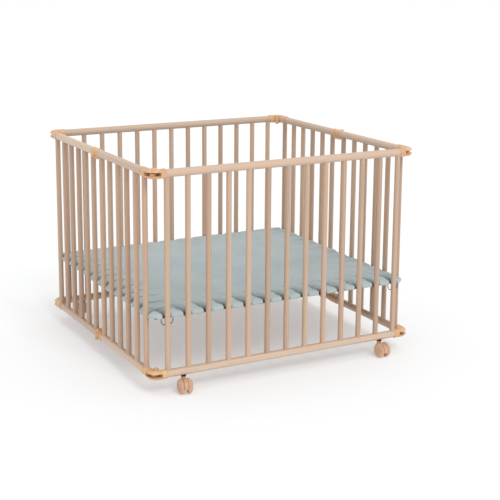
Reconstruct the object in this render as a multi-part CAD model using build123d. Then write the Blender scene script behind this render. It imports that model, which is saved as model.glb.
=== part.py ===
from build123d import *
import math
import os

# Folding playpen of round beech rails and bars on four castors, in millimetres.
# X runs left to right along the front, Y front to back, Z up from the ground.
# The origin is on the ground under the middle of the playpen.

# Frame
frame_width = 970.0  # between the centre lines of the left and right rails
frame_depth = 910.0  # between the centre lines of the front and back rails
top_rail_height = 720.0  # rail centre above the ground
bottom_rail_height = 70.0
rail_diameter = 26.0
bar_diameter = 18.0
bar_spacing = 72.4  # wanted from bar to bar; what is left over is shared out
middle_bar_gap = 77.4  # between the two bars beside a middle hinge
long_end_bar = 50.6  # from an end bar of the front or back to the corner's centre line
side_end_bar = 54.3  # from an end bar of a side to the corner's centre line
bar_seat_depth = 12.0  # how far a bar enters a rail
glue_gap = 0.05  # radial gap of a glued bar, rail or pin in its hole

# Corner hinges: a slotted elbow on the long rails, a tongue on the side rails
collar_diameter = 31.0
fold_gap = 1.0  # between neighbouring collars when the frame is folded
elbow_reach = 10.5  # from the corner pivot to the solid part of the elbow
elbow_collar_length = 19.0
tongue_collar_length = 40.0
socket_floor = 5.0  # plastic left between a rail's end and the hinge
slot_height = 12.0
slot_gap = 0.3  # over and under the tongue and round its eye
stop_gap = 0.6  # between the elbow and the tongue's collar when open
eye_radius = 10.0
ear_thickness = 9.0
barrel_radius = 9.0  # the tongue's round front, seen in the slot
barrel_offset = 10.0  # of its axis from the pivot, outwards both ways
barrel_gap = 4.5  # over it, in the slot
edge_round = 1.5
corner_pin_diameter = 8.0
pin_head_diameter = 13.0
pin_head_height = 4.0
pin_end_cover = 2.0  # plastic left over the blind end of a corner pin
running_gap = 0.08  # radial gap of a pin in the piece that turns on it

# Middle hinges
middle_collar_diameter = 30.0
middle_collar_length = 27.0
middle_socket_floor = 9.0  # keeps the rail's end clear of the other half's knuckle
parting_gap = 0.3  # from the parting plane to either half
knuckle_radius = 6.0
knuckle_height = 8.4
knuckle_gap = 0.3  # between knuckle and ears, and round either one
middle_ear_height = 8.5
web_reach = 12.0
middle_pin_diameter = 4.0
middle_pin_head_diameter = 7.0
middle_pin_head_height = 1.2
lug_width = 14.0
lug_drop = 22.0  # lowest point of a lug under the rail's centre
lug_notch = 13.0  # where the notch between two lugs ends, under the rail's centre
lug_notch_width = 7.0
lug_foot = 5.0

# Castors
castor_inset = 105.0  # stem from the corner's centre line
castor_trail = 20.0
castor_turns = (-11.0, 2.0)  # how the left and the right castors stand
wheel_diameter = 50.0
wheel_outer_width = 47.0
wheel_tread_width = 6.5
wheel_edge_round = 2.0
wheel_hub_radius = 8.0
wheel_cap = 3.5  # plastic left over the axle's end
hood_width = 13.0
hood_inset = 1.5  # hood below the tread
hood_side_gap = 0.9
hood_clearance = 19.0  # hood's lower edge above the ground
hood_boss_radius = 8.0
hood_top_gap = 5.0  # from the hood's top to the rail
axle_diameter = 6.0
stem_diameter = 9.0
stem_in_rail = 14.0
stem_in_hood = 9.0
stem_end_gap = 0.5
flange_diameter = 18.0
flange_thickness = 2.5
flange_gap = 0.2

# Floor
floor_height = 271.0  # top of the mat above the ground
mat_thickness = 18.0
mat_overhang = 3.0  # mat's edge past the bars' centre lines
mat_corner_radius = 40.0
mat_bar_gap = 4.0
board_thickness = 3.0
board_bar_gap = 5.0
board_joint_gap = 2.0
floor_gap = 0.3  # between pegs, boards and mat
peg_diameter = 8.0
peg_fold_gap = 2.0  # between a peg and the bars of a folded side
peg_seat = 6.0  # into the bar
peg_bars_from_end = (1, 4)  # which bars carry pegs, counted from either end

# Corner ties of the mat
tie_diameter = 3.0
tie_half_span = 21.0  # from the bar to where the tie leaves the mat
tie_drop = 24.0
tie_start = 4.0  # where it leaves the mat, inside the bar's centre line
tie_behind = 13.5  # where it passes the bar, inside the bar's centre line

half_width = frame_width / 2
half_depth = frame_depth / 2
mid_height = (top_rail_height + bottom_rail_height) / 2
rail_radius = rail_diameter / 2
bar_radius = bar_diameter / 2
collar_radius = collar_diameter / 2
hinge_offset = (collar_diameter + fold_gap) / 2  # pivots from the rails' centre lines
tongue_shoulder = eye_radius + slot_gap + stop_gap
peg_reach = 2 * hinge_offset - bar_diameter - peg_fold_gap  # out of the bar, under the board
pivot_x = half_width - hinge_offset
pivot_y = half_depth - hinge_offset
socket_radius = rail_radius + glue_gap
bar_hole_radius = bar_radius + glue_gap
end_round = min(edge_round, (collar_diameter - rail_diameter) / 4)

long_run = frame_width - 2 * long_end_bar
long_gaps = round(long_run / bar_spacing)
long_bar_places = [(i / long_gaps - 0.5) * long_run for i in range(long_gaps + 1)]
half_run = half_depth - side_end_bar - middle_bar_gap / 2
half_gaps = round(half_run / bar_spacing)
half_bar_places = [middle_bar_gap / 2 + i / half_gaps * half_run for i in range(half_gaps + 1)]
peg_bars = [*peg_bars_from_end, *(long_gaps - i for i in peg_bars_from_end)]
mat_bottom = floor_height - mat_thickness
board_top = mat_bottom - floor_gap
board_bottom = board_top - board_thickness


def along_x(radius, x0, x1, y=0.0, z=0.0):
    return Pos((x0 + x1) / 2, y, z) * Rot(0, 90, 0) * Cylinder(radius, x1 - x0)


def along_y(radius, y0, y1, x=0.0, z=0.0):
    return Pos(x, (y0 + y1) / 2, z) * Rot(90, 0, 0) * Cylinder(radius, y1 - y0)


def along_z(radius, z0, z1, x=0.0, y=0.0):
    return Pos(x, y, (z0 + z1) / 2) * Cylinder(radius, z1 - z0)


def block(x0, x1, y0, y1, z0, z1):
    return Pos((x0 + x1) / 2, (y0 + y1) / 2, (z0 + z1) / 2) * Box(x1 - x0, y1 - y0, z1 - z0)


def rounded_ends(cylinder):
    return fillet(cylinder.edges().filter_by(GeomType.CIRCLE), end_round)


def to_right(pieces):
    return [mirror(piece, about=Plane.YZ) for piece in pieces]


def to_back(pieces):
    return [mirror(piece, about=Plane.XZ) for piece in pieces]


def to_bottom(piece):
    return mirror(piece, about=Plane.XY.offset(mid_height))


def top_and_bottom(piece):
    return [piece, to_bottom(piece)]


def write(node, pieces):
    export_step(Compound(children=[Solid(piece.solids()[0].wrapped) for piece in pieces]), f"parts/{node}.step")


def bar_hole(x, y):
    top = top_rail_height - rail_radius + bar_seat_depth
    return along_z(bar_hole_radius, top_rail_height - collar_diameter, top, x, y)


def bar(x, y):
    end = rail_radius - bar_seat_depth
    return along_z(bar_radius, bottom_rail_height + end, top_rail_height - end, x, y)


# Long panels, made for the front
rail_end_x = pivot_x - elbow_reach - socket_floor
castor_x = half_width - castor_inset
castor_top = bottom_rail_height - rail_radius


def long_rail():
    rail = along_x(rail_radius, -rail_end_x, rail_end_x, -half_depth, top_rail_height)
    for x in long_bar_places:
        rail -= bar_hole(x, -half_depth)
    return rail


def castor_stem_hole(side):
    radius = stem_diameter / 2 + glue_gap
    return along_z(radius, castor_top - rail_radius, castor_top + stem_in_rail, side * castor_x, -half_depth)


def castor_stem(side):
    place = {"x": side * castor_x, "y": -half_depth}
    low = castor_top - hood_top_gap - stem_in_hood + stem_end_gap
    stem = along_z(stem_diameter / 2, low, castor_top + stem_in_rail, **place)
    flange_top = castor_top - flange_gap
    return stem + along_z(flange_diameter / 2, flange_top - flange_thickness, flange_top, **place)


def left_elbow():
    # Bent round the pivot, with the pivot and the rail's height as its origin
    ring = Plane.XZ * Pos(-hinge_offset, 0) * Circle(collar_radius)
    elbow = revolve(ring, Axis.Z, 90)
    collar_end = elbow_reach + elbow_collar_length
    elbow += rounded_ends(along_x(collar_radius, -eye_radius, collar_end, -hinge_offset))
    elbow -= block(-eye_radius - 1, 0, -collar_diameter - 1, 0, -collar_diameter, collar_diameter)
    elbow += revolve(ring, Axis.Z, 90)
    stop = tongue_shoulder - stop_gap
    elbow += along_y(collar_radius, 0, stop, -hinge_offset)
    for low in (-slot_height / 2 - ear_thickness, slot_height / 2):
        elbow += along_z(eye_radius + slot_gap, low, low + ear_thickness)
    elbow -= block(-frame_width, elbow_reach, -collar_diameter * 2, collar_diameter, -slot_height / 2, slot_height / 2)
    elbow -= along_x(socket_radius, elbow_reach + socket_floor, collar_end + 1, -hinge_offset)
    pin_top = slot_height / 2 + ear_thickness - pin_end_cover
    elbow -= along_z(corner_pin_diameter / 2 + glue_gap, -collar_diameter, pin_top)
    elbow = Pos(-pivot_x, -pivot_y, top_rail_height) * elbow
    return elbow - along_z(
        bar_hole_radius, top_rail_height - collar_diameter, top_rail_height, long_bar_places[0], -half_depth
    )


def left_corner_pin():
    seat = -slot_height / 2 - ear_thickness
    pin = along_z(corner_pin_diameter / 2, seat, slot_height / 2 + ear_thickness - pin_end_cover)
    head = along_z(pin_head_diameter / 2, seat - pin_head_height, seat)
    pin += fillet(head.edges().group_by(Axis.Z)[0], edge_round)
    return Pos(-pivot_x, -pivot_y, top_rail_height) * pin


def peg(x):
    z = board_bottom - floor_gap - peg_diameter / 2
    inner = -half_depth + bar_radius
    return along_y(peg_diameter / 2, inner - peg_seat, inner + peg_reach, x, z)


def peg_hole(x):
    z = board_bottom - floor_gap - peg_diameter / 2
    inner = -half_depth + bar_radius
    return along_y(peg_diameter / 2 + glue_gap, inner - peg_seat, inner + peg_reach, x, z)


def long_panel():
    bars = [bar(x, -half_depth) for x in long_bar_places]
    for i in peg_bars:
        bars[i] -= peg_hole(long_bar_places[i])
    top_rail = long_rail()
    bottom_rail = to_bottom(top_rail)
    for side in (-1, 1):
        bottom_rail -= castor_stem_hole(side)
    left_elbows = top_and_bottom(left_elbow())
    left_pins = top_and_bottom(left_corner_pin())
    return {
        "top_rail": [top_rail],
        "bottom_rail": [bottom_rail],
        "bars": bars,
        "left_elbows": left_elbows,
        "right_elbows": to_right(left_elbows),
        "hinge_pins": left_pins + to_right(left_pins),
        "castor_stems": [castor_stem(side) for side in (-1, 1)],
        "floor_pegs": [peg(long_bar_places[i]) for i in peg_bars],
    }


# Half side panels, made for the left side's front half
half_rail_front = -pivot_y + tongue_shoulder + socket_floor
half_rail_back = -parting_gap - middle_socket_floor
middle_x = half_width + hinge_offset
fork_inside = knuckle_height / 2 + knuckle_gap
fork_outside = fork_inside + middle_ear_height


def half_rail():
    rail = along_y(rail_radius, half_rail_front, half_rail_back, -half_width, top_rail_height)
    for y in half_bar_places:
        rail -= bar_hole(-half_width, -y)
    return rail


def corner_tongue():
    # The pivot and the rail's height are its origin
    collar_end = tongue_shoulder + tongue_collar_length
    tongue = rounded_ends(along_y(collar_radius, tongue_shoulder, collar_end, -hinge_offset))
    half = slot_height / 2 - slot_gap
    tongue += along_z(eye_radius, -half, half)
    tongue += block(-eye_radius, 0, 0, tongue_shoulder + socket_floor / 2, -half, half)
    tongue += along_z(barrel_radius, -half, slot_height / 2 - barrel_gap, -barrel_offset, -barrel_offset)
    tongue -= along_y(socket_radius, tongue_shoulder + socket_floor, collar_end + 1, -hinge_offset)
    tongue -= along_z(corner_pin_diameter / 2 + running_gap, -collar_diameter, collar_diameter)
    tongue = Pos(-pivot_x, -pivot_y, top_rail_height) * tongue
    return tongue - along_z(
        bar_hole_radius, top_rail_height - collar_diameter, top_rail_height, -half_width, -half_bar_places[-1]
    )


def middle_fitting(heights, clear_heights, pin_gap):
    # The middle pivot and the rail's height are its origin, and the rail comes from -Y
    end = parting_gap + middle_collar_length
    lug_points = [
        (-parting_gap, 0),
        (-parting_gap, -lug_notch),
        (-lug_notch_width, -lug_drop),
        (-lug_notch_width - lug_foot, -lug_drop),
        (-end + end_round, -middle_collar_diameter / 2 + end_round),
        (-end + end_round, 0),
    ]
    lug = extrude(Plane.YZ * make_face(Polyline(*lug_points, close=True)), lug_width)
    fitting = along_y(middle_collar_diameter / 2, -end, -parting_gap, hinge_offset)
    fitting = fillet(fitting.edges().filter_by(GeomType.CIRCLE).group_by(Axis.Y)[0], end_round)
    fitting += Pos(hinge_offset - lug_width / 2, 0, 0) * lug
    for low, high in heights:
        fitting += block(0, web_reach, -knuckle_radius, -parting_gap, low, high)
    for low, high in clear_heights:
        fitting -= along_z(knuckle_radius + knuckle_gap, low, high)
    for low, high in heights:
        fitting += along_z(knuckle_radius, low, high)
    fitting -= along_y(socket_radius, -end - 1, half_rail_back, hinge_offset)
    fitting -= along_z(middle_pin_diameter / 2 + pin_gap, -collar_diameter, collar_diameter)
    return Pos(-middle_x, 0, top_rail_height) * fitting


def middle_fork():
    ears = [(-fork_outside, -fork_inside), (fork_inside, fork_outside)]
    return middle_fitting(ears, [(-fork_inside, fork_inside)], glue_gap)


def middle_eye():
    half = knuckle_height / 2
    outside = fork_outside + knuckle_gap
    clear = [(-outside - middle_pin_head_height, -half), (half, outside + middle_pin_head_height)]
    return middle_fitting([(-half, half)], clear, running_gap)


def middle_pin():
    pin = along_z(middle_pin_diameter / 2, -fork_outside, fork_outside)
    for low in (-fork_outside - middle_pin_head_height, fork_outside):
        pin += along_z(middle_pin_head_diameter / 2, low, low + middle_pin_head_height)
    return Pos(-middle_x, 0, top_rail_height) * pin


def half_panel(middle):
    return {
        "top_rail": [half_rail()],
        "bottom_rail": [to_bottom(half_rail())],
        "bars": [bar(-half_width, -y) for y in half_bar_places],
        "corner_tongues": top_and_bottom(corner_tongue()),
        "middle_knuckles": top_and_bottom(middle),
    }


# Castors, made for the front, with the stem's axis on the ground as their origin
wheel_radius = wheel_diameter / 2
wheel_inside = hood_width / 2 + hood_side_gap
wheel_outside = wheel_outer_width / 2
axle_half = wheel_outside - wheel_cap - hood_side_gap


def castor_wheel(side):
    bore = axle_diameter / 2 + running_gap
    shoulder = wheel_inside + wheel_edge_round + wheel_tread_width
    bulge = math.sqrt(0.5)
    dome = ThreePointArc(
        (shoulder, wheel_radius),
        (shoulder + (wheel_outside - shoulder) * bulge, wheel_hub_radius + (wheel_radius - wheel_hub_radius) * bulge),
        (wheel_outside, wheel_hub_radius),
    )
    rim = Polyline(
        (wheel_outside, wheel_hub_radius),
        (wheel_outside, 0),
        (wheel_outside - wheel_cap, 0),
        (wheel_outside - wheel_cap, bore),
        (wheel_inside, bore),
        (wheel_inside, wheel_radius - wheel_edge_round),
        (wheel_inside + wheel_edge_round, wheel_radius),
        (shoulder, wheel_radius),
    )
    wheel = revolve(Plane.XY * make_face(Curve() + dome + rim), Axis.X, 360)
    wheel = wheel if side > 0 else mirror(wheel, about=Plane.YZ)
    return Pos(0, -castor_trail, wheel_radius) * wheel


def castor_hood():
    top = castor_top - hood_top_gap
    half = hood_width / 2
    hood = Pos(0, -castor_trail, 0) * along_x(wheel_radius - hood_inset, -half, half, 0, wheel_radius)
    boss = along_z(hood_boss_radius, wheel_radius, top)
    hood += boss & block(-half, half, -hood_boss_radius, hood_boss_radius, 0, top)
    reach = castor_trail - math.sqrt(hood_boss_radius**2 - wheel_inside**2)
    clear_of_wheels = wheel_radius + math.sqrt(wheel_radius**2 - reach**2) + hood_side_gap
    hood += along_z(hood_boss_radius, clear_of_wheels, top)
    hood -= block(-half, half, -frame_depth, frame_depth, -1, hood_clearance)
    hood -= Pos(0, -castor_trail, 0) * along_x(axle_diameter / 2 + glue_gap, -half, half, 0, wheel_radius)
    return hood - along_z(stem_diameter / 2 + running_gap, top - stem_in_hood, top + 1)


def castor(side, turn):
    place = Pos(side * castor_x, -half_depth, 0) * Rot(0, 0, turn)
    axle = Pos(0, -castor_trail, 0) * along_x(axle_diameter / 2, -axle_half, axle_half, 0, wheel_radius)
    return {
        "hood": [place * castor_hood()],
        "axle": [place * axle],
        "wheels": [place * castor_wheel(side) for side in (-1, 1)],
    }


# Floor
def mat():
    outline = RectangleRounded(
        frame_width + 2 * mat_overhang, frame_depth + 2 * mat_overhang, mat_corner_radius
    )
    radius = bar_radius + mat_bar_gap
    reach = mat_overhang + 1
    cuts = []
    for side in (-1, 1):
        for x in long_bar_places:
            cuts.append(Pos(x, side * half_depth) * Circle(radius))
            cuts.append(Pos(x, side * (half_depth + reach / 2)) * Rectangle(2 * radius, reach))
        for y in half_bar_places:
            for end in (-1, 1):
                cuts.append(Pos(side * half_width, end * y) * Circle(radius))
                cuts.append(Pos(side * (half_width + reach / 2), end * y) * Rectangle(reach, 2 * radius))
    return Pos(0, 0, mat_bottom) * extrude(outline - cuts, mat_thickness)


def front_board():
    x = half_width - bar_radius - board_bar_gap
    y = half_depth - bar_radius - board_bar_gap
    return block(-x, x, -y, -board_joint_gap / 2, board_bottom, board_top)


def front_left_tie():
    # A loop from the mat's underside, down and behind the end bar, and up again
    x = long_bar_places[0]
    low = mat_bottom - tie_drop
    half_way = tie_half_span * 0.7
    left_side = [
        (x - tie_half_span, -half_depth + tie_start, mat_bottom),
        (x - tie_half_span, -half_depth + tie_start, mat_bottom - tie_drop * 0.45),
        (x - half_way, -half_depth + tie_behind * 0.35, low + tie_drop * 0.15),
        (x - tie_half_span * 0.25, -half_depth + tie_behind, low),
    ]
    points = left_side + [(2 * x - px, py, pz) for px, py, pz in reversed(left_side)]
    runs = [Vector(*b) - Vector(*a) for a, b in zip(points, points[1:])]
    radii = [
        0.45 * min(a.length, b.length) / math.tan(math.radians(a.get_angle(b)) / 2) for a, b in zip(runs, runs[1:])
    ]
    path = FilletPolyline(*points, radius=radii)
    tie = sweep(Plane(origin=points[0], z_dir=runs[0]) * Circle(tie_diameter / 2), path=path)
    print("tie bend radii", [round(r, 1) for r in radii], "length", round(path.length, 1))
    print("tie volume", round(tie.volume, 1), "of", round(path.length * math.pi * tie_diameter**2 / 4, 1))
    return tie


os.makedirs("parts", exist_ok=True)

front = long_panel()
for name, pieces in front.items():
    write(f"front_{name}", pieces)
    # Seen from inside, the back panel's left and right stay the playpen's own
    write(f"back_{name}", to_back(pieces))

front_half = half_panel(middle_fork())
back_half = half_panel(middle_eye())
for name in front_half:
    write(f"left_front_{name}", front_half[name])
    write(f"right_front_{name}", to_right(front_half[name]))
    write(f"left_back_{name}", to_back(back_half[name]))
    write(f"right_back_{name}", to_right(to_back(back_half[name])))
middle_pins = top_and_bottom(middle_pin())
write("left_middle_pins", middle_pins)
write("right_middle_pins", to_right(middle_pins))

for hand, side, turn in (("left", -1, castor_turns[0]), ("right", 1, castor_turns[1])):
    for name, pieces in castor(side, turn).items():
        write(f"castor_front_{hand}_{name}", pieces)
        write(f"castor_back_{hand}_{name}", to_back(pieces))

write("floor_mat", [mat()])
write("floor_board_front", [front_board()])
write("floor_board_back", to_back([front_board()]))
tie = [front_left_tie()]
write("tie_front_left", tie)
write("tie_front_right", to_right(tie))
write("tie_back_left", to_back(tie))
write("tie_back_right", to_right(to_back(tie)))
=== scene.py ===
import math

import bmesh
import bpy
from mathutils import Matrix, Vector


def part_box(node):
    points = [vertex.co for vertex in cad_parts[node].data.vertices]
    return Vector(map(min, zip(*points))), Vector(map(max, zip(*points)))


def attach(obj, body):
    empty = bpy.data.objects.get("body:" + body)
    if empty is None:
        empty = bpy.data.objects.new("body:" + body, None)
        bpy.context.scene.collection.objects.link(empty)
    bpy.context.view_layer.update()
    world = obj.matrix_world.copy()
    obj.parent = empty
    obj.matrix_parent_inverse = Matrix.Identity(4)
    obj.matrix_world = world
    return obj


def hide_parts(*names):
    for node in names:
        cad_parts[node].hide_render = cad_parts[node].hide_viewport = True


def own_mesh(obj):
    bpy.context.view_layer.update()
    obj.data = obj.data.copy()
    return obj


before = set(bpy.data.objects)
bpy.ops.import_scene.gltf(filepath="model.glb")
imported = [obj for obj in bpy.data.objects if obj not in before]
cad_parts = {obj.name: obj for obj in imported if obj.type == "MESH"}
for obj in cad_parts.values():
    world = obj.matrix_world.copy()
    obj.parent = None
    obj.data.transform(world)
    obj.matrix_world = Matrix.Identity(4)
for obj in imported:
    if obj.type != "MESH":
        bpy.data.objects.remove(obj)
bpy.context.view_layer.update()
scene = bpy.context.scene
scene.view_settings.view_transform = "Standard"

# Where the wood stands, in metres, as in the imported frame
penPlan = {
    "halfWidth": 0.485,
    "halfDepth": 0.455,
    "barPitch": 0.0724,
    "middleGap": 0.0774,
    "longBars": 13,
    "halfBars": 6,
    "midHeight": 0.395,
}


def link(name, mesh):
    piece = bpy.data.objects.new(name, mesh)
    scene.collection.objects.link(piece)
    return piece


def finishShape(name, shape):
    mesh = bpy.data.meshes.new(name)
    shape.to_mesh(mesh)
    shape.free()
    return link(name, mesh)


def evaluatedMesh(piece):
    graph = bpy.context.evaluated_depsgraph_get()
    return bpy.data.meshes.new_from_object(piece.evaluated_get(graph))


def smoothFaces(mesh):
    mesh.polygons.foreach_set("use_smooth", [True] * len(mesh.polygons))


# Camera: stands in front of the left corner and looks slightly down
cameraPlan = {
    "place": (-1.9045, -3.6950, 1.3886),
    "yaw": 0.4984,
    "pitch": -0.20005,
    "roll": 0.00737,
    "focalPixels": 1171.97,
    "framePixels": 500,
    "shiftY": -0.12,
}


def placeCamera(plan):
    yaw, pitch, roll = plan["yaw"], plan["pitch"], plan["roll"]
    forward = Vector((math.sin(yaw) * math.cos(pitch), math.cos(yaw) * math.cos(pitch), math.sin(pitch)))
    right = Vector((math.cos(yaw), -math.sin(yaw), 0))
    up = right.cross(forward)
    tiltedRight = right * math.cos(roll) + up * math.sin(roll)
    tiltedUp = up * math.cos(roll) - right * math.sin(roll)
    data = bpy.data.cameras.new("photoCamera")
    data.lens = data.sensor_width * plan["focalPixels"] / plan["framePixels"]
    data.shift_y = plan["shiftY"]
    camera = link("photoCamera", data)
    turn = Matrix((tiltedRight, tiltedUp, -forward)).transposed().to_4x4()
    camera.matrix_world = Matrix.Translation(plan["place"]) @ turn
    scene.camera = camera


placeCamera(cameraPlan)
print("camera placed")


# Shader maths: a wire is one output socket, and sums of wires add Math nodes
class Wire:
    def __init__(self, tree, socket=None):
        self.tree = tree
        self.socket = socket

    def feed(self, socket, value):
        if isinstance(value, Wire):
            self.tree.links.new(value.socket, socket)
        else:
            socket.default_value = value

    def node(self, kind, settings=None, inputs=None, out=0):
        made = self.tree.nodes.new("ShaderNode" + kind)
        for name, value in (settings or {}).items():
            setattr(made, name, value)
        for key, value in (inputs or {}).items():
            self.feed(made.inputs[key], value)
        return Wire(self.tree, made.outputs[out])

    def other(self, out):
        return Wire(self.tree, self.socket.node.outputs[out])

    def math(self, operation, first, second=0.0):
        return self.node("Math", {"operation": operation}, {0: first, 1: second})

    def __add__(self, more):
        return self.math("ADD", self, more)

    __radd__ = __add__

    def __sub__(self, less):
        return self.math("SUBTRACT", self, less)

    def __rsub__(self, whole):
        return self.math("SUBTRACT", whole, self)

    def __mul__(self, times):
        return self.math("MULTIPLY", self, times)

    __rmul__ = __mul__

    def __truediv__(self, parts):
        return self.math("DIVIDE", self, parts)

    def floor(self):
        return self.math("FLOOR", self)

    def sign(self):
        return self.math("SIGN", self)

    def sine(self):
        return self.math("SINE", self)

    def step(self, low, high):
        settings = {"interpolation_type": "SMOOTHSTEP"}
        return self.node("MapRange", settings, {"Value": self, "From Min": low, "From Max": high})

    def blend(self, first, second):
        return self.node("Mix", {"data_type": "RGBA"}, {0: self, 6: first, 7: second}, 2)

    def vector(self, x, y, z):
        return self.node("CombineXYZ", None, {0: x, 1: y, 2: z})

    def noise(self, vector, scale, detail=2.0, roughness=0.5):
        inputs = {"Vector": vector, "Scale": scale, "Detail": detail, "Roughness": roughness}
        return self.node("TexNoise", None, inputs)

    def chance(self, value):
        return self.node("TexWhiteNoise", {"noise_dimensions": "1D"}, {"W": value})

    def bump(self, height, depth, strength=1.0, under=None):
        inputs = {"Height": height, "Distance": depth, "Strength": strength}
        if under:
            inputs["Normal"] = under
        return self.node("Bump", None, inputs)


def shade(red, green, blue):
    parts = []
    for part in (red, green, blue):
        part = part / 255
        parts.append(part / 12.92 if part <= 0.04045 else ((part + 0.055) / 1.055) ** 2.4)
    return (*parts, 1.0)


def newFinish(name, constants):
    material = bpy.data.materials.new(name)
    material.use_nodes = True
    tree = material.node_tree
    shader = tree.nodes["Principled BSDF"]
    for key, value in constants.items():
        shader.inputs[key].default_value = value
    wire = Wire(tree)
    place = wire.node("TexCoord", None, None, "Object")
    split = wire.node("SeparateXYZ", None, {0: place})
    axes = {"x": split, "y": split.other(1), "z": split.other(2)}
    return material, shader, wire, place, axes


# Beech: pale pink tan, straight rings, short dark flecks, satin lacquer
beechPlan = {
    "pale": shade(214, 189, 166),
    "deep": shade(176, 144, 117),
    "pink": shade(190, 155, 132),
    "fleck": shade(140, 107, 82),
    "ringWidth": 0.0026,
    "ringWander": 0.0030,
    "fleckShare": 0.42,
    "constants": {"Coat Weight": 0.18, "Coat Roughness": 0.32, "Specular IOR Level": 0.42},
}

# Rails: a paler, less saturated copy of the beech, painted lighter to stand in for the light falling on
# their tops
litRailPlan = dict(beechPlan, pale=shade(221, 200, 180), deep=shade(187, 159, 135), pink=shade(202, 171, 150))


def beech(name, along, pieceOf, plan=beechPlan):
    material, shader, wire, place, axes = newFinish(name, plan["constants"])
    across = [axes[key] for key in "xyz" if key != along]
    lengthwise = axes[along]
    lot = wire.chance(pieceOf(axes))
    lotColour = lot.other(1)
    turnSplit = wire.node("SeparateXYZ", None, {0: lotColour})
    turn = turnSplit * (2 * math.pi)
    shift = turnSplit.other(1) * 9.0
    ringAxis = across[0] * wire.math("COSINE", turn) + across[1] * wire.math("SINE", turn)
    slow = wire.noise(wire.vector(across[0] * 30, across[1] * 30, lengthwise * 3.5 + shift), 1.0, 2.0)
    rings = ((ringAxis + slow * plan["ringWander"]) * (2 * math.pi / plan["ringWidth"])).sine() * 0.5 + 0.5
    streak = wire.noise(wire.vector(across[0] * 240, across[1] * 240, lengthwise * 6 + shift), 1.0, 3.0)
    dashes = wire.noise(wire.vector(across[0] * 1500, across[1] * 1500, lengthwise * 190 + shift), 1.0, 1.0)
    flecks = dashes.step(0.60, 0.70)
    grain = rings * 0.35 + streak * 0.75 - 0.05
    wood = grain.blend(plan["pale"], plan["deep"])
    wood = (turnSplit.other(2) * 0.55).blend(wood, plan["pink"])
    tone = wire.node("HueSaturation", None, {"Value": lot * 0.20 + 0.90, "Color": wood})
    wire.feed(shader.inputs["Base Color"], (flecks * plan["fleckShare"]).blend(tone, plan["fleck"]))
    wire.feed(shader.inputs["Roughness"], streak * 0.16 + 0.36)
    wire.feed(shader.inputs["Normal"], wire.bump(streak * 0.5 - flecks * 0.4, 0.00012))
    return material


def longBarOf(axes):
    return (axes["x"] / penPlan["barPitch"] + 0.5).floor() + axes["y"].sign() * 37.3


def sideBarOf(axes):
    return (axes["y"] / penPlan["barPitch"]).floor() + axes["x"].sign() * 51.7


def railOf(axes):
    level = (axes["z"] - penPlan["midHeight"]).sign()
    return axes["x"].sign() * 4.1 + axes["y"].sign() * 2.3 + level * 1.2


def longRailOf(axes):
    level = (axes["z"] - penPlan["midHeight"]).sign()
    return axes["y"].sign() * 2.3 + level * 1.2


# Moulded plastic in a wood tone
tanPlan = {
    "light": shade(222, 181, 140),
    "dark": shade(206, 162, 118),
    "constants": {"Specular IOR Level": 0.45},
}


def tanPlastic(name, plan=tanPlan):
    material, shader, wire, place, axes = newFinish(name, plan["constants"])
    flow = wire.noise(place, 38.0, 3.0)
    wire.feed(shader.inputs["Base Color"], flow.step(0.3, 0.7).blend(plan["light"], plan["dark"]))
    texture = wire.noise(place, 2600.0, 1.0)
    wire.feed(shader.inputs["Roughness"], flow * 0.14 + 0.36)
    wire.feed(shader.inputs["Normal"], wire.bump(texture, 0.00006))
    return material


# The castors' plastic is pinker and browner
castorPlan = dict(tanPlan, light=shade(212, 172, 143), dark=shade(190, 149, 121))

# Dark steel of the castor stems and axles
steelPlan = {
    "bare": shade(104, 84, 70),
    "dark": shade(62, 47, 38),
    "constants": {"Metallic": 0.75},
}


def darkSteel(name, plan=steelPlan):
    material, shader, wire, place, axes = newFinish(name, plan["constants"])
    cloud = wire.noise(place, 120.0, 4.0)
    lines = wire.noise(wire.vector(axes["x"] * 60, axes["y"] * 60, axes["z"] * 2400), 1.0, 1.0)
    wire.feed(shader.inputs["Base Color"], cloud.step(0.35, 0.7).blend(plan["dark"], plan["bare"]))
    wire.feed(shader.inputs["Roughness"], lines * 0.2 + cloud * 0.15 + 0.22)
    wire.feed(shader.inputs["Normal"], wire.bump(lines, 0.00004))
    return material


# Hardboard under the mat
hardboardPlan = {
    "light": shade(150, 112, 78),
    "dark": shade(104, 74, 50),
    "constants": {"Specular IOR Level": 0.3},
}


def hardboard(name, plan=hardboardPlan):
    material, shader, wire, place, axes = newFinish(name, plan["constants"])
    cloud = wire.noise(place, 14.0, 4.0)
    fibres = wire.noise(place, 420.0, 3.0, 0.6)
    mixed = (cloud * 0.5 + fibres * 0.7 - 0.1).step(0.25, 0.8)
    wire.feed(shader.inputs["Base Color"], mixed.blend(plan["dark"], plan["light"]))
    wire.feed(shader.inputs["Roughness"], fibres * 0.25 + 0.5)
    wire.feed(shader.inputs["Normal"], wire.bump(fibres, 0.0002))
    return material


# Woven cover of the mat, in a grey mint, with painted shade darkening it along the creases
clothPlan = {
    "light": shade(183, 196, 197),
    "deep": shade(157, 171, 173),
    # painted shade colour, laid along the creases
    "fold": shade(80, 94, 98),
    "paintedShadeShare": 1.0,
    "thread": 0.0011,
    "constants": {"Sheen Weight": 0.25, "Sheen Roughness": 0.5, "Specular IOR Level": 0.2},
}


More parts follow.
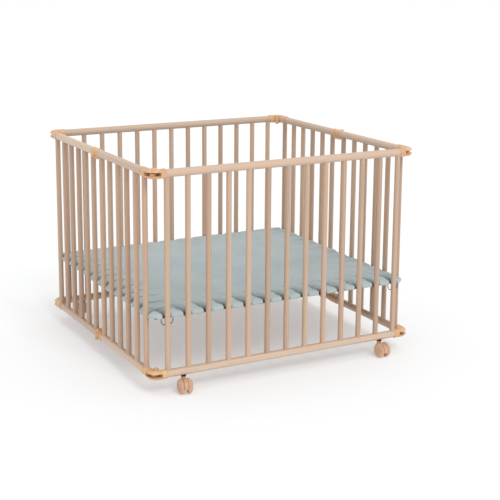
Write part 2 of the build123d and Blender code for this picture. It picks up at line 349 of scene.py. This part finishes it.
def wovenCover(name, plan=clothPlan):
    material, shader, wire, place, axes = newFinish(name, plan["constants"])
    wave = {key: (axes[key] * (math.pi / plan["thread"])).sine() for key in "xyz"}
    normal = wire.node("NewGeometry", None, None, "Normal")
    facing = wire.node("SeparateXYZ", None, {0: normal})
    weights = {"x": facing * facing, "y": facing.other(1) * facing.other(1)}
    weights["z"] = 1 - weights["x"] - weights["y"]
    weave = weights["z"] * (wave["x"] * wave["y"]) + weights["y"] * (wave["x"] * wave["z"])
    weave = weave + weights["x"] * (wave["y"] * wave["z"])
    cloud = wire.noise(place, 9.0, 3.0)
    slub = wire.noise(wire.vector(axes["x"] * 700, axes["y"] * 60, axes["z"] * 700), 1.0, 2.0)
    tone = (cloud * 0.6 + slub * 0.5 + weave * 0.12 - 0.05).step(0.15, 0.9)
    cover = tone.blend(plan["deep"], plan["light"])
    # Painted shade: the cover is darkened along the creases by the stored crease attribute
    fold = wire.node("Attribute", {"attribute_name": "fold"}, None, "Fac")
    wire.feed(shader.inputs["Base Color"], (fold * plan["paintedShadeShare"]).blend(cover, plan["fold"]))
    wire.feed(shader.inputs["Roughness"], slub * 0.15 + 0.75)
    crumple = wire.noise(place, 26.0, 3.0)
    under = wire.bump(crumple, 0.004, 0.25)
    wire.feed(shader.inputs["Normal"], wire.bump(weave, 0.00018, 0.6, under))
    return material


# Grey cord of the ties, laid in a braid along its own UV map
tiePlan = {
    "light": shade(118, 126, 122),
    "dark": shade(74, 82, 79),
    "diameter": 0.003,
    "halfSpan": 0.021,
    "drop": 0.024,
    "start": 0.004,
    "behind": 0.0135,
    "top": 0.253,
    "plaits": 96.0,
    "strands": 4.0,
    "constants": {"Roughness": 0.85, "Sheen Weight": 0.2, "Specular IOR Level": 0.2},
}


def braid(name, plan=tiePlan):
    material, shader, wire, place, axes = newFinish(name, plan["constants"])
    seam = wire.node("UVMap")
    split = wire.node("SeparateXYZ", None, {0: seam})
    run, around = split * plan["plaits"], split.other(1) * plan["strands"]
    one = ((run + around) * (2 * math.pi)).sine()
    two = ((run - around) * (2 * math.pi)).sine()
    plait = one * two * 0.5 + 0.5
    wire.feed(shader.inputs["Base Color"], plait.blend(plan["dark"], plan["light"]))
    wire.feed(shader.inputs["Normal"], wire.bump(plait, 0.0004))
    return material


# Corner ties: each hangs from the mat, goes behind the end bar and comes up again
def tieRoute(sideX, sideY, plan=tiePlan):
    barX = sideX * penPlan["barPitch"] * (penPlan["longBars"] - 1) / 2
    span, low = plan["halfSpan"], plan["top"] - plan["drop"]
    halfLoop = [
        (span, -plan["start"], plan["top"]),
        (span, -plan["start"], plan["top"] - plan["drop"] * 0.45),
        (span * 0.7, -plan["behind"] * 0.35, low + plan["drop"] * 0.15),
        (span * 0.25, -plan["behind"], low),
    ]
    there = [(barX - out, sideY * (penPlan["halfDepth"] + ahead), z) for out, ahead, z in halfLoop]
    back = [(2 * barX - x, y, z) for x, y, z in reversed(there)]
    return there + back


def makeTie(end, side, sideX, sideY, finish, plan=tiePlan):
    route = tieRoute(sideX, sideY)
    curve = bpy.data.curves.new("tieLine", "CURVE")
    curve.dimensions = "3D"
    curve.resolution_u = 12
    spline = curve.splines.new("NURBS")
    spline.points.add(len(route) - 1)
    for point, place in zip(spline.points, route):
        point.co = (*place, 1.0)
    spline.order_u = 3
    spline.use_endpoint_u = True
    liner = link("tieLine", curve)
    line = [vertex.co.copy() for vertex in evaluatedMesh(liner).vertices]
    curve.bevel_depth = plan["diameter"] / 2
    curve.bevel_resolution = 4
    curve.use_fill_caps = True
    mesh = evaluatedMesh(liner)
    bpy.data.objects.remove(liner)
    smoothFaces(mesh)
    name = f"tie_{end}_{side}_cord"
    mesh.name = name
    tie = link(name, mesh)
    mesh.materials.clear()
    mesh.materials.append(finish)
    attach(tie, "floor")
    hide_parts(f"tie_{end}_{side}")
    return tie


corners = [
    ("front", "left", -1, -1),
    ("front", "right", 1, -1),
    ("back", "left", -1, 1),
    ("back", "right", 1, 1),
]
tieCord = braid("tieCord")
ties = [makeTie(*corner, tieCord) for corner in corners]
print("ties made", [round(tie.dimensions.x, 4) for tie in ties])

# Padded mat: swollen from the imported slab by a cloth simulation, with a slit in from each bar and painted
# shade along the creases
matPlan = {
    "voxel": 0.0046,  # even mesh before it swells
    "slitReach": 0.074,  # inwards from a bar's middle
    "cornerReach": 0.042,  # the same at the end bars
    "farReach": 0.036,  # the same at the back and right edges
    "slitMouth": 0.012,
    "slitTip": 0.007,
    "cutHeight": 0.1,
    "creaseReach": 0.135,
    "creaseDepth": 0.0085,
    "creaseWidth": 0.0055,
    # painted shade: the width of the darkened line along a crease
    "paintedShadeWidth": 0.0075,  # darker line along a crease
    "farCrease": 0.35,  # share of the depth at the back and right edges
    "lean": 0.36,  # how far the front folds run sideways for each length inwards
    "droop": 0.005,  # fall of the edge past the boards
    "startInset": 0.0026,
    "smoothing": 6,
    "pressure": 4.0,
    "frames": 18,
    "mostSwell": 0.0045,
    "shrink": -0.02,
    "middleShare": 0.3,  # of the swell, away from the edges
    "edgeBand": 0.06,
    "edgeFade": 0.14,
    "restBand": 0.003,  # held on the boards up to here
    "flatBand": 0.006,  # pressed flat on the boards up to here
    "flatLift": 0.0005,
    "boardX": 0.471,
    "boardY": 0.441,
    "edge": 0.017,  # from the boards' edge to the mat's
}


def barPlaces():
    places = []
    for i in range(penPlan["longBars"]):
        x = (i - (penPlan["longBars"] - 1) / 2) * penPlan["barPitch"]
        atEnd = i in (0, penPlan["longBars"] - 1)
        for side in (-1, 1):
            place = Vector((x, side * penPlan["halfDepth"], 0))
            places.append((place, Vector((0, -side, 0)), atEnd))
    for i in range(penPlan["halfBars"]):
        y = penPlan["middleGap"] / 2 + i * penPlan["barPitch"]
        atEnd = i == penPlan["halfBars"] - 1
        for end in (-1, 1):
            for side in (-1, 1):
                place = Vector((side * penPlan["halfWidth"], end * y, 0))
                places.append((place, Vector((-side, 0, 0)), atEnd))
    return places


def slitCutters(plan, height):
    shape = bmesh.new()
    for place, inward, atEnd in barPlaces():
        reach = plan["cornerReach"] if atEnd else plan["slitReach"]
        lean = plan["lean"] if inward.y > 0.5 else 0.0  # front folds run off to the left
        if inward.x < -0.5 or inward.y < -0.5:  # the back and right edges lie flatter
            reach = plan["farReach"]
        made = bmesh.ops.create_cube(shape, size=1.0)["verts"]
        for vertex in made:
            width = plan["slitTip"] if vertex.co.y > 0 else plan["slitMouth"]
            along = (vertex.co.y + 0.5) * reach
            vertex.co = (vertex.co.x * width - lean * along, along, vertex.co.z * plan["cutHeight"])
        turn = Vector((0, 1, 0)).rotation_difference(inward).to_matrix()
        bmesh.ops.rotate(shape, verts=made, cent=(0, 0, 0), matrix=turn)
        bmesh.ops.translate(shape, verts=made, vec=place + Vector((0, 0, height)))
    return finishShape("slitCutters", shape)


def creaseAt(co, plan, width):
    pitch, gap = penPlan["barPitch"], penPlan["middleGap"]
    reached = penPlan["halfDepth"] - abs(co.y)
    x = co.x + plan["lean"] * reached if co.y < 0 else co.x
    longBar = round(x / pitch)
    sideBar = round((abs(co.y) - gap / 2) / pitch)
    runs = []
    if abs(longBar) <= penPlan["longBars"] // 2:
        depth = plan["farCrease"] if co.y > 0 else 1.0
        runs.append((reached, x - longBar * pitch, depth))
    if 0 <= sideBar < penPlan["halfBars"]:
        depth = plan["farCrease"] if co.x > 0 else 1.0
        runs.append((penPlan["halfWidth"] - abs(co.x), abs(co.y) - gap / 2 - sideBar * pitch, depth))
    deepest = 0.0
    for inward, off, depth in runs:
        fade = depth * min(1, max(0, 1 - inward / plan["creaseReach"]))
        deepest = max(deepest, fade * math.exp(-((off / width) ** 2)))
    return deepest


def makeMat(finish, plan=matPlan):
    low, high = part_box("floor_mat")
    shape = bmesh.new()
    shape.from_mesh(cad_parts["floor_mat"].data)
    bmesh.ops.remove_doubles(shape, verts=shape.verts, dist=1e-5)
    slab = finishShape("matSlab", shape)
    cutters = slitCutters(plan, low.z)
    cut = slab.modifiers.new("slits", "BOOLEAN")
    cut.operation, cut.solver, cut.object = "DIFFERENCE", "EXACT", cutters
    cut.use_self = True
    grid = slab.modifiers.new("even", "REMESH")
    grid.mode, grid.voxel_size = "VOXEL", plan["voxel"]
    inset = slab.modifiers.new("inset", "DISPLACE")
    inset.strength, inset.mid_level = -plan["startInset"], 0.0
    start = evaluatedMesh(slab)
    bpy.data.objects.remove(slab)
    bpy.data.objects.remove(cutters)
    shape = bmesh.new()
    shape.from_mesh(start)
    for _ in range(plan["smoothing"]):
        bmesh.ops.smooth_vert(
            shape, verts=shape.verts, factor=0.5, use_axis_x=True, use_axis_y=True, use_axis_z=True
        )
    for vertex in shape.verts:
        onBoards = abs(vertex.co.x) < plan["boardX"] and abs(vertex.co.y) < plan["boardY"]
        if onBoards and vertex.co.z < low.z + plan["flatBand"]:
            vertex.co.z = min(vertex.co.z, low.z + plan["flatLift"])
    mat = finishShape("floor_mat_cover", shape)
    before = [vertex.co.copy() for vertex in mat.data.vertices]
    print("mat points", len(before))
    rest = mat.vertex_groups.new(name="resting")
    rest.add([i for i, co in enumerate(before) if co.z < low.z + plan["restBand"]], 1.0, "REPLACE")
    cloth = mat.modifiers.new("swell", "CLOTH")
    cloth.settings.use_pressure = True
    cloth.settings.uniform_pressure_force = plan["pressure"]
    cloth.settings.vertex_group_mass = "resting"
    cloth.settings.shrink_min = plan["shrink"]
    cloth.settings.effector_weights.gravity = 0
    cloth.collision_settings.use_collision = False
    cloth.point_cache.frame_end = plan["frames"]
    for step in range(1, plan["frames"] + 1):
        scene.frame_set(step)
    after = [vertex.co.copy() for vertex in evaluatedMesh(mat).vertices]
    scene.frame_set(1)
    mat.modifiers.clear()
    mat.vertex_groups.clear()
    for vertex, old, new in zip(mat.data.vertices, before, after):
        move = new - old
        edge = min(penPlan["halfWidth"] - abs(old.x), penPlan["halfDepth"] - abs(old.y))
        inner = min(1, max(0, (edge - plan["edgeBand"]) / plan["edgeFade"]))
        share = 1 - (1 - plan["middleShare"]) * inner
        if move.length > plan["mostSwell"]:
            move *= plan["mostSwell"] / move.length
        vertex.co = old + move * share
    middle = (low.z + high.z) / 2
    # Painted shade: a darkening share is stored at each upper point along the creases, for the cover's
    # colour
    paintedFoldShades = mat.data.attributes.new("fold", "FLOAT", "POINT")
    for vertex in mat.data.vertices:
        over = max(abs(vertex.co.x) - plan["boardX"], abs(vertex.co.y) - plan["boardY"], 0) / plan["edge"]
        vertex.co.z -= plan["droop"] * over
        if vertex.co.z > middle:
            paintedFoldShades.data[vertex.index].value = creaseAt(vertex.co, plan, plan["paintedShadeWidth"])
            vertex.co.z -= creaseAt(vertex.co, plan, plan["creaseWidth"]) * plan["creaseDepth"]
    smoothFaces(mat.data)
    mat.data.materials.append(finish)
    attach(mat, "floor")
    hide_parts("floor_mat")
    return mat


matCover = makeMat(wovenCover("wovenCover"))
print("mat made", [round(size, 4) for size in matCover.dimensions])

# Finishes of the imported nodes
finishes = {
    "longBars": beech("beechLongBars", "z", longBarOf),
    "sideBars": beech("beechSideBars", "z", sideBarOf),
    "longRails": beech("beechLongRails", "x", longRailOf, litRailPlan),
    "sideRails": beech("beechSideRails", "y", railOf, litRailPlan),
    "pegs": beech("beechPegs", "y", longBarOf),
    "tan": tanPlastic("tanPlastic"),
    "castor": tanPlastic("castorPlastic", castorPlan),
    "steel": darkSteel("darkSteel"),
    "board": hardboard("hardboard"),
}


def finishOf(node):
    if node.endswith("bars"):
        return "longBars" if node.startswith(("front", "back")) else "sideBars"
    if node.endswith("rail"):
        return "longRails" if node.startswith(("front", "back")) else "sideRails"
    if node.endswith("pegs"):
        return "pegs"
    if node.endswith(("stems", "axle")):
        return "steel"
    if node.startswith("castor"):
        return "castor"
    if node.startswith("floor_board"):
        return "board"
    return "tan"


for node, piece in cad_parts.items():
    piece.data.materials.clear()
    piece.data.materials.append(finishes[finishOf(node)])
print("finishes set")

# Floor boards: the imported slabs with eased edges
boardPlan = {"ease": 0.0008, "segments": 2}


def makeBoard(end, finish, plan=boardPlan):
    node = f"floor_board_{end}"
    shape = bmesh.new()
    shape.from_mesh(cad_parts[node].data)
    bmesh.ops.remove_doubles(shape, verts=shape.verts, dist=1e-5)
    bmesh.ops.dissolve_limit(shape, angle_limit=0.02, verts=shape.verts, edges=shape.edges)
    bmesh.ops.bevel(
        shape, geom=shape.edges, offset=plan["ease"], segments=plan["segments"],
        affect="EDGES", profile=0.5, material=-1,
    )
    board = finishShape(f"{node}_eased", shape)
    board.data.materials.clear()
    board.data.materials.append(finish)
    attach(board, "floor")
    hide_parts(node)
    return board


boards = [makeBoard(end, finishes["board"]) for end in ("front", "back")]
print("boards made", [len(board.data.polygons) for board in boards])

# Each soft floor piece gets a mesh of its own
for soft in [matCover] + boards + ties:
    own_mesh(soft)

# Studio: pale floor, one soft lamp from the upper front, and an even white surround
studioPlan = {
    "floorSize": 14.0,
    "floorColour": (0.62, 0.628, 0.635, 1.0),
    "floorGlow": 0.355,
    "surround": 0.82,
    "lampFrom": (0.0, -0.707, 0.707),
    "lampSpread": 0.42,
    "lampStrength": 1.15,
}


def makeStudio(plan):
    shape = bmesh.new()
    bmesh.ops.create_grid(shape, x_segments=8, y_segments=8, size=plan["floorSize"] / 2)
    ground = finishShape("studioFloor", shape)
    material = bpy.data.materials.new("studioFloor")
    material.use_nodes = True
    shader = material.node_tree.nodes["Principled BSDF"]
    shader.inputs["Base Color"].default_value = plan["floorColour"]
    shader.inputs["Roughness"].default_value = 0.9
    shader.inputs["Specular IOR Level"].default_value = 0.0
    shader.inputs["Emission Color"].default_value = (1, 1, 1, 1)
    shader.inputs["Emission Strength"].default_value = plan["floorGlow"]
    ground.data.materials.append(material)
    world = bpy.data.worlds.new("studioWorld")
    world.use_nodes = True
    tree = world.node_tree
    wire = Wire(tree)
    rays = wire.node("LightPath", None, None, "Is Camera Ray")
    glossy, through = rays.other("Is Glossy Ray"), rays.other("Is Transmission Ray")
    seen = wire.math("MAXIMUM", rays, wire.math("MAXIMUM", glossy, through))
    background = tree.nodes["Background"]
    wire.feed(background.inputs["Strength"], seen * (1 - plan["surround"]) + plan["surround"])
    background.inputs["Color"].default_value = (1, 1, 1, 1)
    scene.world = world
    lampData = bpy.data.lights.new("studioLamp", "SUN")
    lampData.angle, lampData.energy = plan["lampSpread"], plan["lampStrength"]
    lamp = link("studioLamp", lampData)
    lamp.matrix_world = Vector(plan["lampFrom"]).to_track_quat("Z", "Y").to_matrix().to_4x4()


makeStudio(studioPlan)
print("studio set")
